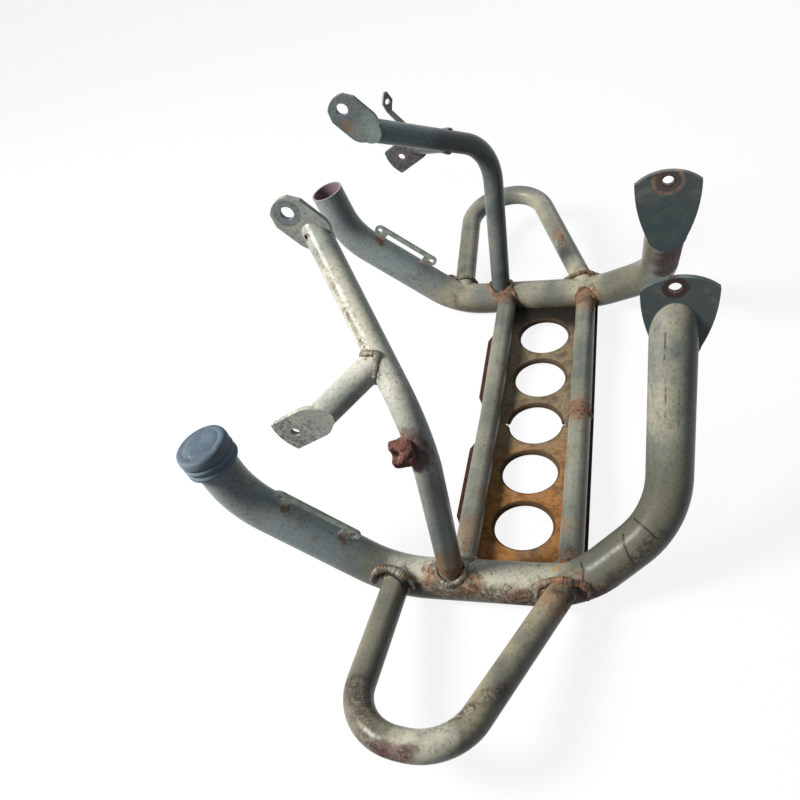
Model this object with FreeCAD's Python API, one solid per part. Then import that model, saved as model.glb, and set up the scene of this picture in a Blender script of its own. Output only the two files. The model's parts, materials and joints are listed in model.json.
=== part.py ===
import FreeCAD
import Part
import math
import os

# Front bumper of an all-terrain vehicle, lying on its front as it comes to rest on a floor.
# On the vehicle -Z is forward, -X is up and -Y is the left side. Lengths are in millimetres.
# X is measured from the front plate's centre line until the finished part is centred.

V = FreeCAD.Vector

# Tube sizes
main_od = 34.0
main_wall = 2.0
main_bend = 76.0
loop_od = 22.0
loop_wall = 1.8
loop_bend = 42.0
stay_od = 20.0
stay_wall = 1.8
stay_bend = 64.0
branch_od = 20.0
cross_od = 20.0
cross_wall = 1.8

# Main tube: front run on the floor, knee and upper arm to -X, hip and lower arm to +X
main_half_gap = 185.0
knee_x = -100.0
hip_x = 49.0
upper_bend_x = -207.5
upper_bend_z = 116.0
upper_bend_half_gap = 183.0
upper_end_x = -218.5
upper_end_z = 173.0
upper_end_half_gap = 181.0
lower_bend_x = 115.0
lower_bend_z = 64.5
lower_bend_half_gap = 151.5

# Each crushed tube is modelled this far past its shoulder, and the plane of its flat cuts it
crush_run = 70.0

# Lower lug: the crushed end of the lower arm, flat to the centre plane
lug_half_gap = 69.5
lug_x = 119.0
lug_shoulder_z = 178.0
lug_hole_z = 216.5
lug_hole_d = 9.0
lug_thickness = 4.0
lug_neck_back = 15.0
lug_neck_dip = 14.0
lug_belly_half = 23.5
lug_belly_at = 10.0
lug_corner_half = 26.0
lug_corner_at = 36.5
lug_crown_at = 47.0
lug_slip_left = -3.0

# Upper stay: rises from the front run and turns in to a crushed end
stay_x = -51.0
stay_corner_x = -41.0
stay_corner_z = 197.0
stay_splay = 8.0
stay_lug_half_gap = 78.0
stay_shoulder_x = -120.0
stay_shoulder_z = 284.0
stay_hole_x = -137.0
stay_hole_z = 304.5
stay_hole_d = 10.5
stay_lug_thickness = 3.6
stay_neck_back = 6.0
stay_neck_dip = 7.0
stay_flare_half = 13.2
stay_flare_at = -1.5
stay_flank_half = 15.2
stay_flank_at = 5.0
stay_corner_at = 26.0
stay_tip_half = 10.2
stay_tip_at = 34.6
stay_crown_at = 37.8
vent_d = 3.8
vent_forward = 6.5
vent_across = 3.0

# Branch: short tube from the stay's upper run out to a crushed end
branch_share = 0.38
branch_lug_half_gap = 188.0
branch_shoulder_x = -111.0
branch_shoulder_z = 211.0
branch_hole_x = -130.5
branch_hole_z = 200.0
branch_hole_d = 7.0
branch_lug_thickness = 3.6
branch_neck_back = 6.0
branch_neck_dip = 7.0
branch_flare_half = 12.3
branch_flare_at = -1.0
branch_flank_half = 13.6
branch_flank_at = 6.0
branch_corner_at = 33.5
branch_crown_at = 36.6

# Side loop: a U of slimmer tube that stands out from the knee and the hip
loop_foot_upper_x = -93.0
loop_foot_lower_x = 43.0
loop_foot_upper_rise = 10.0
loop_foot_lower_rise = 8.5
loop_corner_upper_x = -98.0
loop_corner_upper_half = 331.0
loop_corner_upper_z = 54.0
loop_corner_lower_x = -22.0
loop_corner_lower_half = 340.0
loop_corner_lower_z = 58.0

# Front plate: a sheet folded on the centre plane, with a row of lipped holes
plate_thickness = 2.5
plate_fold_degrees = 2.6
plate_upper_edge = 59.3
plate_lower_edge = 54.5
plate_hole_d = 50.0
plate_hole_pitch = 62.0
plate_holes_a_side = 2
lip_radius = 3.5
lip_depth = 5.0
fold_notch_reach = 31.0
fold_notch_half = 17.0
lobe_reach = 5.0
lobe_start = 24.0
lobe_end = 128.0
lobe_slope = 11.0
cross_spacing = 85.0
cross_top_drop = 0.09

# Strip bracket: a sheet strip that stands on the upper arm
strip_from_knee = 88.5
strip_lift = 26.3
strip_hole_pitch = 66.5
strip_hole_d = 5.5
strip_ear = 5.8
strip_web = 5.2
strip_thickness = 2.5
strip_foot_width = 9.0
strip_foot_inset = 5.0

# Boss on the left stay, and what is left of the right one
boss_z = 188.0
boss_od = 21.0
boss_hole_d = 8.0
boss_start = 9.0
boss_reach = 22.0
boss_stub_od = 12.0
boss_stub_reach = 15.0
boss_turn_degrees = 17.0
boss_edge = 2.0

# Strap on the right stay: a twisted strip with a holed ear
strap_share = 0.65
strap_foot_width = 10.0
strap_neck_width = 5.0
strap_ear_width = 11.0
strap_tip_width = 3.0
strap_thickness = 2.0
strap_neck_length = 32.0
strap_ear_length = 17.0
strap_lean_degrees = 35.0
strap_twist_degrees = 40.0
strap_hole_d = 5.0

# Rubber cap on the left upper end
cap_wall = 4.4
cap_length = 21.0
cap_face = 4.0
cap_edge = 3.0
cap_clearance = 0.1
cap_groove = 1.0
cap_groove_width = 2.6
cap_grooves = 2
cap_disc_d = 30.0
cap_disc_rise = 1.6

# Weld beads
bead = 2.6
seam_width = 5.0

reach = 2000.0
main_radius = main_od / 2
axis_z = main_radius
fold = math.radians(plate_fold_degrees)

# The cross tubes end level with the top of the main tubes, and the plate hangs under them
cross_radius = cross_od / 2
cross_end_z = main_od - cross_top_drop - cross_radius
cross_mid_z = cross_end_z - main_half_gap * math.tan(fold)
plate_fold_z = cross_mid_z - cross_radius / math.cos(fold)


def unit(vector):
    return V(vector).normalize()


def rod(points, bend, radius):
    """Solid round bar: straight runs through the points, joined by arcs of one bend radius."""
    pieces = []
    start = points[0]
    for before, corner, after in zip(points, points[1:], points[2:]):
        way_in = unit(corner - before)
        way_out = unit(after - corner)
        turn = way_in.getAngle(way_out)
        tangent = bend * math.tan(turn / 2)
        arc_start = corner - way_in * tangent
        pieces.append(Part.makeCylinder(radius, (arc_start - start).Length, start, way_in))
        hinge = way_in.cross(way_out)
        centre = arc_start + unit(hinge.cross(way_in)) * bend
        disc = Part.Face(Part.Wire(Part.makeCircle(radius, arc_start, way_in)))
        pieces.append(disc.revolve(centre, hinge, math.degrees(turn)))
        start = corner + way_out * tangent
    last = points[-1] - start
    pieces.append(Part.makeCylinder(radius, last.Length, start, last))
    return pieces[0].fuse(pieces[1:]).removeSplitter() if len(pieces) > 1 else pieces[0]


def slab(y_from, y_to):
    """Everything between two planes that face along Y."""
    return Part.makeBox(reach, y_to - y_from, reach, V(-reach / 2, y_from, -reach / 2))


def largest(shape):
    return max(shape.Solids, key=lambda solid: solid.Volume)


def to_right(shape):
    """The mirror image on the right side."""
    return shape.mirror(V(0, 0, 0), V(0, 1, 0))


def arc(first, middle, last):
    return Part.Arc(first, middle, last).toShape()


def drill(centre, way, diameter):
    """Round hole right through a piece."""
    return Part.makeCylinder(diameter / 2, reach, centre - way * (reach / 2), way)


def tongue(shoulder, hole, thickness, hole_d, root_at, side, crown_at, slip=0):
    """Flat end of a crushed tube, parallel to the centre plane, with its bolt hole.

    side lists (half width, distance along the tongue from the shoulder): three points of the arc
    that flares out from the neck, then any corners of the straight flank. root_at and crown_at
    are where the round root and the round tip cross the middle. slip moves the outline sideways
    from its hole, as a press that was not quite square does.
    """
    along = unit(hole - shoulder)
    across = along.cross(V(0, 1, 0))

    def spot(half, forward):
        return shoulder + across * (half + slip) + along * forward - V(0, thickness / 2, 0)

    flank = [spot(half, forward) for half, forward in side]
    other = [spot(-half, forward) for half, forward in side]
    straight = flank[2:]
    straight_back = other[:1:-1]
    edges = [arc(other[0], spot(0, root_at), flank[0]), arc(*flank[:3])]
    edges += [Part.makeLine(start, end) for start, end in zip(straight, straight[1:])]
    edges.append(arc(flank[-1], spot(0, crown_at), other[-1]))
    edges += [Part.makeLine(start, end) for start, end in zip(straight_back, straight_back[1:])]
    edges.append(arc(other[2], other[1], other[0]))
    blank = Part.Face(Part.Wire(edges)).extrude(V(0, thickness, 0))
    return blank.cut(drill(hole, V(0, 1, 0), hole_d))


def crushed_tube(outer, bore, flat, keep, keep_bore):
    """Tube pressed flat at one end: cut flush with the flat, the bore closed off by it."""
    return largest(outer.common(keep).fuse(flat).cut(bore.common(keep_bore)))


def weld(joined, fat_one, fat_other):
    """Fillet of weld metal where two tubes meet: their swollen outlines less what they join."""
    ring = fat_one.common(fat_other)
    for piece in joined:
        ring = ring.cut(piece)
    return ring


# Main tube of the left side
main_points = [
    V(upper_end_x, -upper_end_half_gap, upper_end_z),
    V(upper_bend_x, -upper_bend_half_gap, upper_bend_z),
    V(knee_x, -main_half_gap, axis_z),
    V(hip_x, -main_half_gap, axis_z),
    V(lower_bend_x, -lower_bend_half_gap, lower_bend_z),
    V(lug_x, -lug_half_gap, lug_shoulder_z),
]
lug_shoulder = main_points[-1]
lower_arm = unit(lug_shoulder - main_points[-2])
main_path = main_points[:-1] + [lug_shoulder + lower_arm * crush_run]
main_rod = rod(main_path, main_bend, main_radius)
main_bore = rod(main_path, main_bend, main_radius - main_wall)
main_fat = rod(main_path, main_bend, main_radius + bead)
lug_side = [
    (main_radius - main_wall / 2, -lug_neck_back),
    (lug_belly_half, lug_belly_at),
    (lug_corner_half, lug_corner_at),
]
lug_hole = V(lug_x, -lug_half_gap, lug_hole_z)
lug_root_at = -lug_neck_back - lug_neck_dip
lug_inner = -lug_half_gap + lug_thickness / 2
lug_outer = -lug_half_gap - lug_thickness / 2


def main_tube(slip):
    flat = tongue(
        lug_shoulder, lug_hole, lug_thickness, lug_hole_d, lug_root_at, lug_side, lug_crown_at, slip)
    return crushed_tube(main_rod, main_bore, flat, slab(-reach, lug_inner), slab(-reach, lug_outer))


# Upper stay of the left side
stay_radius = stay_od / 2
stay_foot = V(stay_x, -main_half_gap, axis_z)
stay_corner = V(stay_corner_x, -main_half_gap - stay_splay, stay_corner_z)
stay_shoulder = V(stay_shoulder_x, -stay_lug_half_gap, stay_shoulder_z)
stay_hole = V(stay_hole_x, -stay_lug_half_gap, stay_hole_z)
stay_run = unit(stay_shoulder - stay_corner)
stay_path = [stay_foot, stay_corner, stay_shoulder + stay_run * crush_run]
stay_rod = rod(stay_path, stay_bend, stay_radius)
stay_bore = rod(stay_path, stay_bend, stay_radius - stay_wall)
stay_fat = rod(stay_path, stay_bend, stay_radius + bead)
stay_side = [
    (stay_radius - stay_wall / 2, -stay_neck_back),
    (stay_flare_half, stay_flare_at),
    (stay_flank_half, stay_flank_at),
    (stay_flank_half, stay_corner_at),
    (stay_tip_half, stay_tip_at),
]
stay_root_at = -stay_neck_back - stay_neck_dip
stay_flat = tongue(
    stay_shoulder, stay_hole, stay_lug_thickness, stay_hole_d, stay_root_at, stay_side, stay_crown_at)
stay_inner = -stay_lug_half_gap + stay_lug_thickness / 2
stay_outer = -stay_lug_half_gap - stay_lug_thickness / 2
stay_whole = crushed_tube(
    stay_rod, stay_bore, stay_flat, slab(-reach, stay_inner), slab(-reach, stay_outer))
tongue_along = unit(stay_hole - stay_shoulder)
tongue_across = tongue_along.cross(V(0, 1, 0))
vent_spot = stay_shoulder + tongue_along * vent_forward + tongue_across * vent_across
vent_start = vent_spot - V(0, stay_od, 0)
vent = Part.makeCylinder(vent_d / 2, stay_od - stay_lug_thickness / 2, vent_start, V(0, 1, 0))
stay = largest(stay_whole.cut(vent).cut(main_rod))

# Branch of the left side
branch_radius = branch_od / 2
branch_foot = stay_corner + (stay_shoulder - stay_corner) * branch_share
branch_shoulder = V(branch_shoulder_x, -branch_lug_half_gap, branch_shoulder_z)
branch_hole = V(branch_hole_x, -branch_lug_half_gap, branch_hole_z)
branch_run = unit(branch_shoulder - branch_foot)
branch_path = [branch_foot, branch_shoulder + branch_run * crush_run]
branch_rod = rod(branch_path, 0, branch_radius)
branch_bore = rod(branch_path, 0, branch_radius - stay_wall)
branch_fat = rod(branch_path, 0, branch_radius + bead)
branch_side = [
    (branch_radius - stay_wall / 2, -branch_neck_back),
    (branch_flare_half, branch_flare_at),
    (branch_flank_half, branch_flank_at),
    (branch_flank_half, branch_corner_at),
]
branch_root_at = -branch_neck_back - branch_neck_dip
branch_flat = tongue(
    branch_shoulder, branch_hole, branch_lug_thickness, branch_hole_d, branch_root_at, branch_side,
    branch_crown_at)
branch_outer = -branch_lug_half_gap - branch_lug_thickness / 2
branch_inner = -branch_lug_half_gap + branch_lug_thickness / 2
branch_whole = crushed_tube(
    branch_rod, branch_bore, branch_flat, slab(branch_outer, reach), slab(branch_inner, reach))
branch = largest(branch_whole.cut(stay_rod))

# Side loop of the left side
loop_radius = loop_od / 2
loop_path = [
    V(loop_foot_upper_x, -main_half_gap, axis_z + loop_foot_upper_rise),
    V(loop_corner_upper_x, -loop_corner_upper_half, loop_corner_upper_z),
    V(loop_corner_lower_x, -loop_corner_lower_half, loop_corner_lower_z),
    V(loop_foot_lower_x, -main_half_gap, axis_z + loop_foot_lower_rise),
]
loop_rod = rod(loop_path, loop_bend, loop_radius)
loop_bore = rod(loop_path, loop_bend, loop_radius - loop_wall)
loop_fat = rod(loop_path, loop_bend, loop_radius + bead)
side_loop = largest(loop_rod.cut(loop_bore).cut(main_rod))


# Cross tubes lie on the plate and follow its fold
def cross_half(x, radius, hollow):
    """Left half of a cross tube, mitred on the centre plane."""
    middle = V(x, 0, cross_mid_z)
    end = V(x, -main_half_gap, cross_end_z)
    past = middle + unit(middle - end) * cross_od
    half = rod([end, past], 0, radius)
    if hollow:
        half = half.cut(rod([end, past], 0, radius - cross_wall))
    return half.common(slab(-reach, 0))


upper_cross_x = -cross_spacing / 2
lower_cross_x = cross_spacing / 2
upper_half = largest(cross_half(upper_cross_x, cross_radius, True).cut(main_rod).cut(stay_rod))
upper_cross_tube = upper_half.fuse(to_right(upper_half)).removeSplitter()
lower_cross_left = largest(cross_half(lower_cross_x, cross_radius, True).cut(main_rod))


# Front plate: each half is made flat, tipped up about the fold and trimmed on the centre plane
def lip():
    """Lip round one hole, turned down from the sheet: half of its section, revolved."""
    hole = plate_hole_d / 2
    outer = hole + lip_radius
    inner_bend = lip_radius - plate_thickness
    slant = math.sqrt(0.5)
    top = V(outer, 0, 0)
    throat = V(hole, 0, -lip_radius)
    top_mid = V(outer - lip_radius * slant, 0, -lip_radius + lip_radius * slant)
    under = V(outer, 0, -plate_thickness)
    behind = V(hole + plate_thickness, 0, -lip_radius)
    under_mid = V(outer - inner_bend * slant, 0, -lip_radius + inner_bend * slant)
    foot_in = V(hole, 0, -lip_depth)
    foot_out = V(hole + plate_thickness, 0, -lip_depth)
    section = Part.Wire([
        arc(top, top_mid, throat), Part.makeLine(throat, foot_in), Part.makeLine(foot_in, foot_out),
        Part.makeLine(foot_out, behind), arc(behind, under_mid, under), Part.makeLine(under, top),
    ])
    return Part.Face(section).revolve(V(0, 0, 0), V(0, 0, 1), 360)


def tipped(shape):
    """Set a shape that was made flat, with the sheet's top at Z 0, onto the left half's slope."""
    shape.rotate(V(0, 0, 0), V(1, 0, 0), -plate_fold_degrees)
    shape.translate(V(0, 0, plate_fold_z))
    return shape


def plate_half():
    spare = plate_hole_d
    edge = -plate_upper_edge + lobe_reach
    blank_points = [
        V(plate_lower_edge, spare, 0), V(plate_lower_edge, -main_half_gap, 0),
        V(edge, -main_half_gap, 0), V(edge, -lobe_end, 0),
        V(-plate_upper_edge, -lobe_end + lobe_slope, 0),
        V(-plate_upper_edge, -lobe_start - lobe_slope, 0),
        V(edge, -lobe_start, 0), V(edge, spare, 0),
    ]
    outline = Part.makePolygon(blank_points + blank_points[:1])
    sheet = Part.Face(outline).extrude(V(0, 0, -plate_thickness))
    for step in range(plate_holes_a_side + 1):
        centre = V(0, -step * plate_hole_pitch, 0)
        opening = drill(centre, V(0, 0, 1), plate_hole_d + 2 * lip_radius)
        sheet = sheet.cut(opening).fuse(lip().translated(centre))
    notch_points = [
        V(fold_notch_reach, 0, 0), V(0, fold_notch_half, 0),
        V(-fold_notch_reach, 0, 0), V(0, -fold_notch_half, 0),
    ]
    notch = Part.Face(Part.makePolygon(notch_points + notch_points[:1])).extrude(V(0, 0, reach))
    sheet = tipped(sheet.cut(notch.translated(V(0, 0, -reach / 2))))
    return largest(sheet.common(slab(-reach, 0)).cut(main_rod))


left_plate = plate_half()
front_plate = left_plate.fuse(to_right(left_plate)).removeSplitter()


# Strip bracket on the upper arm
def strip_bracket():
    along = unit(main_points[1] - main_points[2])
    upward = unit(V(0, 1, 0).cross(along))
    inward = unit(along.cross(upward))
    middle = main_points[2] + along * strip_from_knee - inward * (strip_thickness / 2)

    def spot(forward, up):
        return middle + along * forward + upward * up

    def panel(start, end, low, high):
        corners = [spot(start, low), spot(end, low), spot(end, high), spot(start, high)]
        return Part.Face(Part.makePolygon(corners + corners[:1])).extrude(inward * strip_thickness)

    half = strip_hole_pitch / 2
    top = strip_lift + strip_ear
    strip = panel(-half, half, top - strip_web, top)
    for side in (-1, 1):
        foot = side * (half - strip_foot_inset)
        ear = Part.makeCylinder(strip_ear, strip_thickness, spot(side * half, strip_lift), inward)
        leg = panel(foot - strip_foot_width / 2, foot + strip_foot_width / 2, 0, strip_lift)
        strip = strip.fuse([ear, leg])
    for side in (-1, 1):
        strip = strip.cut(drill(spot(side * half, strip_lift), inward, strip_hole_d))
    return largest(strip.cut(main_rod).removeSplitter())


bracket = strip_bracket()


# Threaded boss on the stay's bend, and the stump that is left of the right one
boss_share = (boss_z - axis_z) / (stay_corner_z - axis_z)
boss_root = stay_foot + (stay_corner - stay_foot) * boss_share
boss_turn = math.radians(boss_turn_degrees)
boss_way = V(-math.cos(boss_turn), -math.sin(boss_turn), 0)


def stump(diameter, length):
    start = boss_root + boss_way * boss_start
    return Part.makeCylinder(diameter / 2, length - boss_start, start, boss_way)


boss_blank = stump(boss_od, boss_reach)
boss_rims = [edge for edge in boss_blank.Edges if edge.Curve.TypeId == "Part::GeomCircle"]
boss_far_rim = max(boss_rims, key=lambda edge: (edge.CenterOfMass - boss_root).Length)
boss_body = boss_blank.makeChamfer(boss_edge, [boss_far_rim])
boss = largest(boss_body.cut(drill(boss_root, boss_way, boss_hole_d)).cut(stay_rod))
boss_stub = to_right(largest(stump(boss_stub_od, boss_stub_reach).cut(stay_rod)))


# Strap on the right stay
def stay_strap():
    root = stay_corner + (stay_shoulder - stay_corner) * strap_share
    lean = math.radians(strap_lean_degrees)
    neck_way = V(-math.sin(lean), 0, math.cos(lean))
    knuckle = root + neck_way * strap_neck_length
    across = FreeCAD.Rotation(V(0, 0, 1), strap_twist_degrees).multVec(V(0, 1, 0))
    facing = across.cross(V(0, 0, 1))

    def ribbon(centre, wide, thick, width):
        side = wide * (width / 2)
        deep = thick * (strap_thickness / 2)
        corners = [centre + side + deep, centre - side + deep, centre - side - deep, centre + side - deep]
        return Part.makePolygon(corners + corners[:1])

    def ear_ribbon(share, width):
        return ribbon(knuckle + V(0, 0, strap_ear_length * share), across, facing, width)

    foot = ribbon(root, V(0, 1, 0), V(0, 1, 0).cross(neck_way), strap_foot_width)
    neck = Part.makeLoft([foot, ear_ribbon(0, strap_neck_width)], True, True)
    ear = Part.makeLoft([ear_ribbon(0, strap_neck_width), ear_ribbon(0.5, strap_ear_width),
                         ear_ribbon(1, strap_tip_width)], True, True)
    hole = drill(knuckle + V(0, 0, strap_ear_length / 2), facing, strap_hole_d)
    return largest(neck.fuse(ear).cut(hole).cut(stay_rod))


strap = to_right(stay_strap())


# Rubber cap on the left upper end
def end_cap():
    """A cup turned about Z, mouth down, then set on the tube's end."""
    mouth = main_radius + cap_clearance
    outer = mouth + cap_wall
    low = cap_face - cap_length
    disc = cap_disc_d / 2
    top = cap_face + cap_disc_rise
    section = Part.Wire(Part.makePolygon([
        V(0, 0, 0), V(mouth, 0, 0), V(mouth, 0, low), V(outer, 0, low),
        V(outer, 0, cap_face - cap_edge), V(outer - cap_edge, 0, cap_face),
        V(disc, 0, cap_face), V(disc - cap_disc_rise, 0, top), V(0, 0, top), V(0, 0, 0),
    ]))
    cap = Part.Face(section).revolve(V(0, 0, 0), V(0, 0, 1), 360)
    for number in range(cap_grooves):
        level = low * (number + 1) / (cap_grooves + 1)
        floor = V(0, 0, level - cap_groove_width / 2)
        ring = Part.makeCylinder(outer + cap_groove, cap_groove_width, floor)
        core = Part.makeCylinder(outer - cap_groove, cap_groove_width, floor)
        cap = cap.cut(ring.cut(core))
    way = unit(main_points[0] - main_points[1])
    cap.Placement = FreeCAD.Placement(main_points[0], FreeCAD.Rotation(V(0, 0, 1), way))
    return cap


cap = end_cap()

# Weld beads
upper_cross_rod = cross_half(upper_cross_x, cross_radius, False)
lower_cross_rod = cross_half(lower_cross_x, cross_radius, False)
sheet_space = tipped(Part.makeBox(reach, reach, reach, V(-reach / 2, -reach / 2, bead - reach)))
stay_weld = weld([main_rod, stay_rod, upper_cross_rod], stay_fat, main_fat)
branch_weld = weld([stay_rod, branch_rod, branch_bore], branch_fat, stay_fat)
loop_weld = weld([main_rod, loop_rod], loop_fat, main_fat)
upper_weld = weld([main_rod, stay_rod, stay_weld, upper_cross_rod, sheet_space],
                  cross_half(upper_cross_x, cross_radius + bead, False), main_fat)
lower_weld = weld([main_rod, loop_rod, loop_weld, lower_cross_rod, sheet_space],
                  cross_half(lower_cross_x, cross_radius + bead, False), main_fat)
seam_half = weld([lower_cross_rod, sheet_space],
                 cross_half(lower_cross_x, cross_radius + bead / 2, False), slab(-seam_width / 2, 0))
seam = seam_half.fuse(to_right(seam_half)).removeSplitter()

nodes = {
    "main_tube_left": main_tube(lug_slip_left),
    "main_tube_right": to_right(main_tube(0)),
    "stay_left": stay,
    "stay_right": to_right(stay),
    "branch_left": branch,
    "branch_right": to_right(branch),
    "side_loop_left": side_loop,
    "side_loop_right": to_right(side_loop),
    "upper_cross_tube": upper_cross_tube,
    "lower_cross_tube_left": lower_cross_left,
    "lower_cross_tube_right": to_right(lower_cross_left),
    "front_plate": front_plate,
    "strip_bracket_left": bracket,
    "strip_bracket_right": to_right(bracket),
    "boss_left": boss,
    "boss_stub_right": boss_stub,
    "strap_right": strap,
    "end_cap_left": cap,
    "stay_welds": Part.makeCompound([stay_weld, to_right(stay_weld)]),
    "branch_welds": Part.makeCompound([branch_weld, to_right(branch_weld)]),
    "loop_welds": Part.makeCompound([loop_weld, to_right(loop_weld)]),
    "cross_welds": Part.makeCompound([upper_weld, lower_weld, to_right(upper_weld), to_right(lower_weld)]),
    "seam_weld": seam,
}

# Centre the finished part over its own footprint and write one file for each piece
box = Part.makeCompound(list(nodes.values())).optimalBoundingBox(False, False)
shift = V(-(box.XMin + box.XMax) / 2, 0, -box.ZMin)
os.makedirs("parts", exist_ok=True)
for name, shape in nodes.items():
    placed = shape.translated(shift)
    placed.exportStep("parts/" + name + ".step")
    print(name, len(placed.Solids), "solids", round(placed.Volume), "mm3", placed.isValid())
print("shift", shift, "size", box.XLength, box.YLength, box.ZLength)
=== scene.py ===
# %% [markdown]
# # A worn tube bumper
# The bumper of an all-terrain vehicle lies on its front on a pale studio floor.
# Its tubes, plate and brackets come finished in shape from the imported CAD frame.
# This script gives them their paint, rust and scratches, and builds what a CAD solid shows
# only in outline: rippled weld beads, a corroded boss and a ridged rubber cap.

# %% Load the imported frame
import json
import math

import bpy
from mathutils import Matrix, Vector, geometry, noise
from mathutils.bvhtree import BVHTree


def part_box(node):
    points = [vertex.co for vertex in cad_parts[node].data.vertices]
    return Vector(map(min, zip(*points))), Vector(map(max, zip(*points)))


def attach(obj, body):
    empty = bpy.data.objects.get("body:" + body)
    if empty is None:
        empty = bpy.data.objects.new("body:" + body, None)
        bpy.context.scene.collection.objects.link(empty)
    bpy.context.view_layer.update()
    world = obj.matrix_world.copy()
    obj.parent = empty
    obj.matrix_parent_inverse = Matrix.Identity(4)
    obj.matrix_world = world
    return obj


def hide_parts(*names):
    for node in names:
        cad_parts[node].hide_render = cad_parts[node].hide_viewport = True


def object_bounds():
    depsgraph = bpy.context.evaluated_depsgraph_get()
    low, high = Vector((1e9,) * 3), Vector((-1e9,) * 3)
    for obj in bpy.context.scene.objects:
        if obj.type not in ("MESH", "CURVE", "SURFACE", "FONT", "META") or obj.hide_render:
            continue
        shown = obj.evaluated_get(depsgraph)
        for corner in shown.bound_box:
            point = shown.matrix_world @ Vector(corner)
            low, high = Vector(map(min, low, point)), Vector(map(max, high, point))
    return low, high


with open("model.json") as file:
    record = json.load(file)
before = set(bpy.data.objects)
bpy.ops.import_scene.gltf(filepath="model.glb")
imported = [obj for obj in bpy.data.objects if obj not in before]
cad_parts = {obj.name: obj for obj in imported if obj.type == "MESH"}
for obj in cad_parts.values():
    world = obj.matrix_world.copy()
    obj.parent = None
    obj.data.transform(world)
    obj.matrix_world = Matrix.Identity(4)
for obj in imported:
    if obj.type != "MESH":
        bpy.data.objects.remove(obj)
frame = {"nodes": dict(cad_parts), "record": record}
nodes = frame["nodes"]
cad_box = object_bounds()
print("CAD nodes:", len(nodes), "box:", [tuple(round(v, 4) for v in corner) for corner in cad_box])

# %% [markdown]
# ## One way to write places
# The maker's drawing measures X from the front plate's centre line, in millimetres.
# That line is half way between the two cross tubes, so the frame itself says where it is,
# and a place from the drawing becomes a point in metres with one small function.
# The left half has negative Y, and the right half is its mirror image.

# %% Places from the drawing
cross_lines = [sum(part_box(name), Vector()).x / 2 for name in ("upper_cross_tube", "lower_cross_tube_left")]
plate_line = sum(cross_lines) / 2
holes = {mount["name"]: Vector(mount["pos_m"]) for mount in frame["record"]["mounts"]}


def mm(x, y, z):
    return Vector((x / 1000 + plate_line, y / 1000, z / 1000))


def mirrored(point):
    return Vector((point.x, -point.y, point.z))


print("plate line at x =", round(plate_line, 5), "bolt holes:", len(holes))

# %% [markdown]
# ## The camera
# A product photo is one perspective view, so a camera needs a place, three angles and a lens.
# Pitch looks down, yaw turns left, and roll tips the picture, as a hand-held camera does.
# The three axes are built as vectors and set as the columns of the camera's matrix.

# %% Camera
camera_place = mm(92.84, -522.92, 566.03)
pitch = math.radians(42.503)
yaw = math.radians(-24.454)
roll = math.radians(17.608)
picture_width = 800
focal_pixels = 783.26
centre_offset = 15.15

ahead = Vector((math.sin(yaw) * math.cos(pitch), math.cos(yaw) * math.cos(pitch), -math.sin(pitch)))
level = Vector((math.cos(yaw), -math.sin(yaw), 0))
right = level * math.cos(roll) + ahead.cross(level) * math.sin(roll)
up = right.cross(ahead)
camera = bpy.data.objects.new("camera", bpy.data.cameras.new("camera"))
bpy.context.collection.objects.link(camera)
camera.matrix_world = Matrix.Translation(camera_place) @ Matrix((right, up, -ahead)).transposed().to_4x4()
camera.data.lens = camera.data.sensor_width * focal_pixels / picture_width
camera.data.shift_x = centre_offset / picture_width
bpy.context.scene.camera = camera
bpy.context.scene.view_settings.view_transform = "Standard"
print("camera at", tuple(round(v, 3) for v in camera.location), "lens", round(camera.data.lens, 2))

# %% [markdown]
# ## Shader maths as Python
# A material is a graph of nodes, and maths in it takes one node for each step.
# A small class that wraps a socket lets that maths be written as an expression:
# `1 - rust * 0.5` adds its Math nodes by itself.
# Every other node comes from one method, which sets the node's own settings first.

# %% Sockets that can be added and multiplied
class Socket:
    """One output of a node tree, with the operators that the finishes use."""

    def __init__(self, tree, output):
        self.tree = tree
        self.output = output

    def calc(self, operation, first, second):
        node = self.tree.nodes.new("ShaderNodeMath")
        node.operation = operation
        for slot, value in zip(node.inputs, (first, second)):
            plug(self.tree, slot, value)
        return Socket(self.tree, node.outputs[0])

    def __add__(self, other):
        return self.calc("ADD", self, other)

    def __radd__(self, other):
        return self.calc("ADD", other, self)

    def __sub__(self, other):
        return self.calc("SUBTRACT", self, other)

    def __rsub__(self, other):
        return self.calc("SUBTRACT", other, self)

    def __mul__(self, other):
        return self.calc("MULTIPLY", self, other)

    def __rmul__(self, other):
        return self.calc("MULTIPLY", other, self)

    def __or__(self, other):
        return self.calc("MAXIMUM", self, other)

    def __and__(self, other):
        return self.calc("MINIMUM", self, other)


def plug(tree, slot, value):
    if isinstance(value, Socket):
        tree.links.new(value.output, slot)
    elif slot.type == "RGBA":
        slot.default_value = (*value, 1)
    else:
        slot.default_value = value


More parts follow.
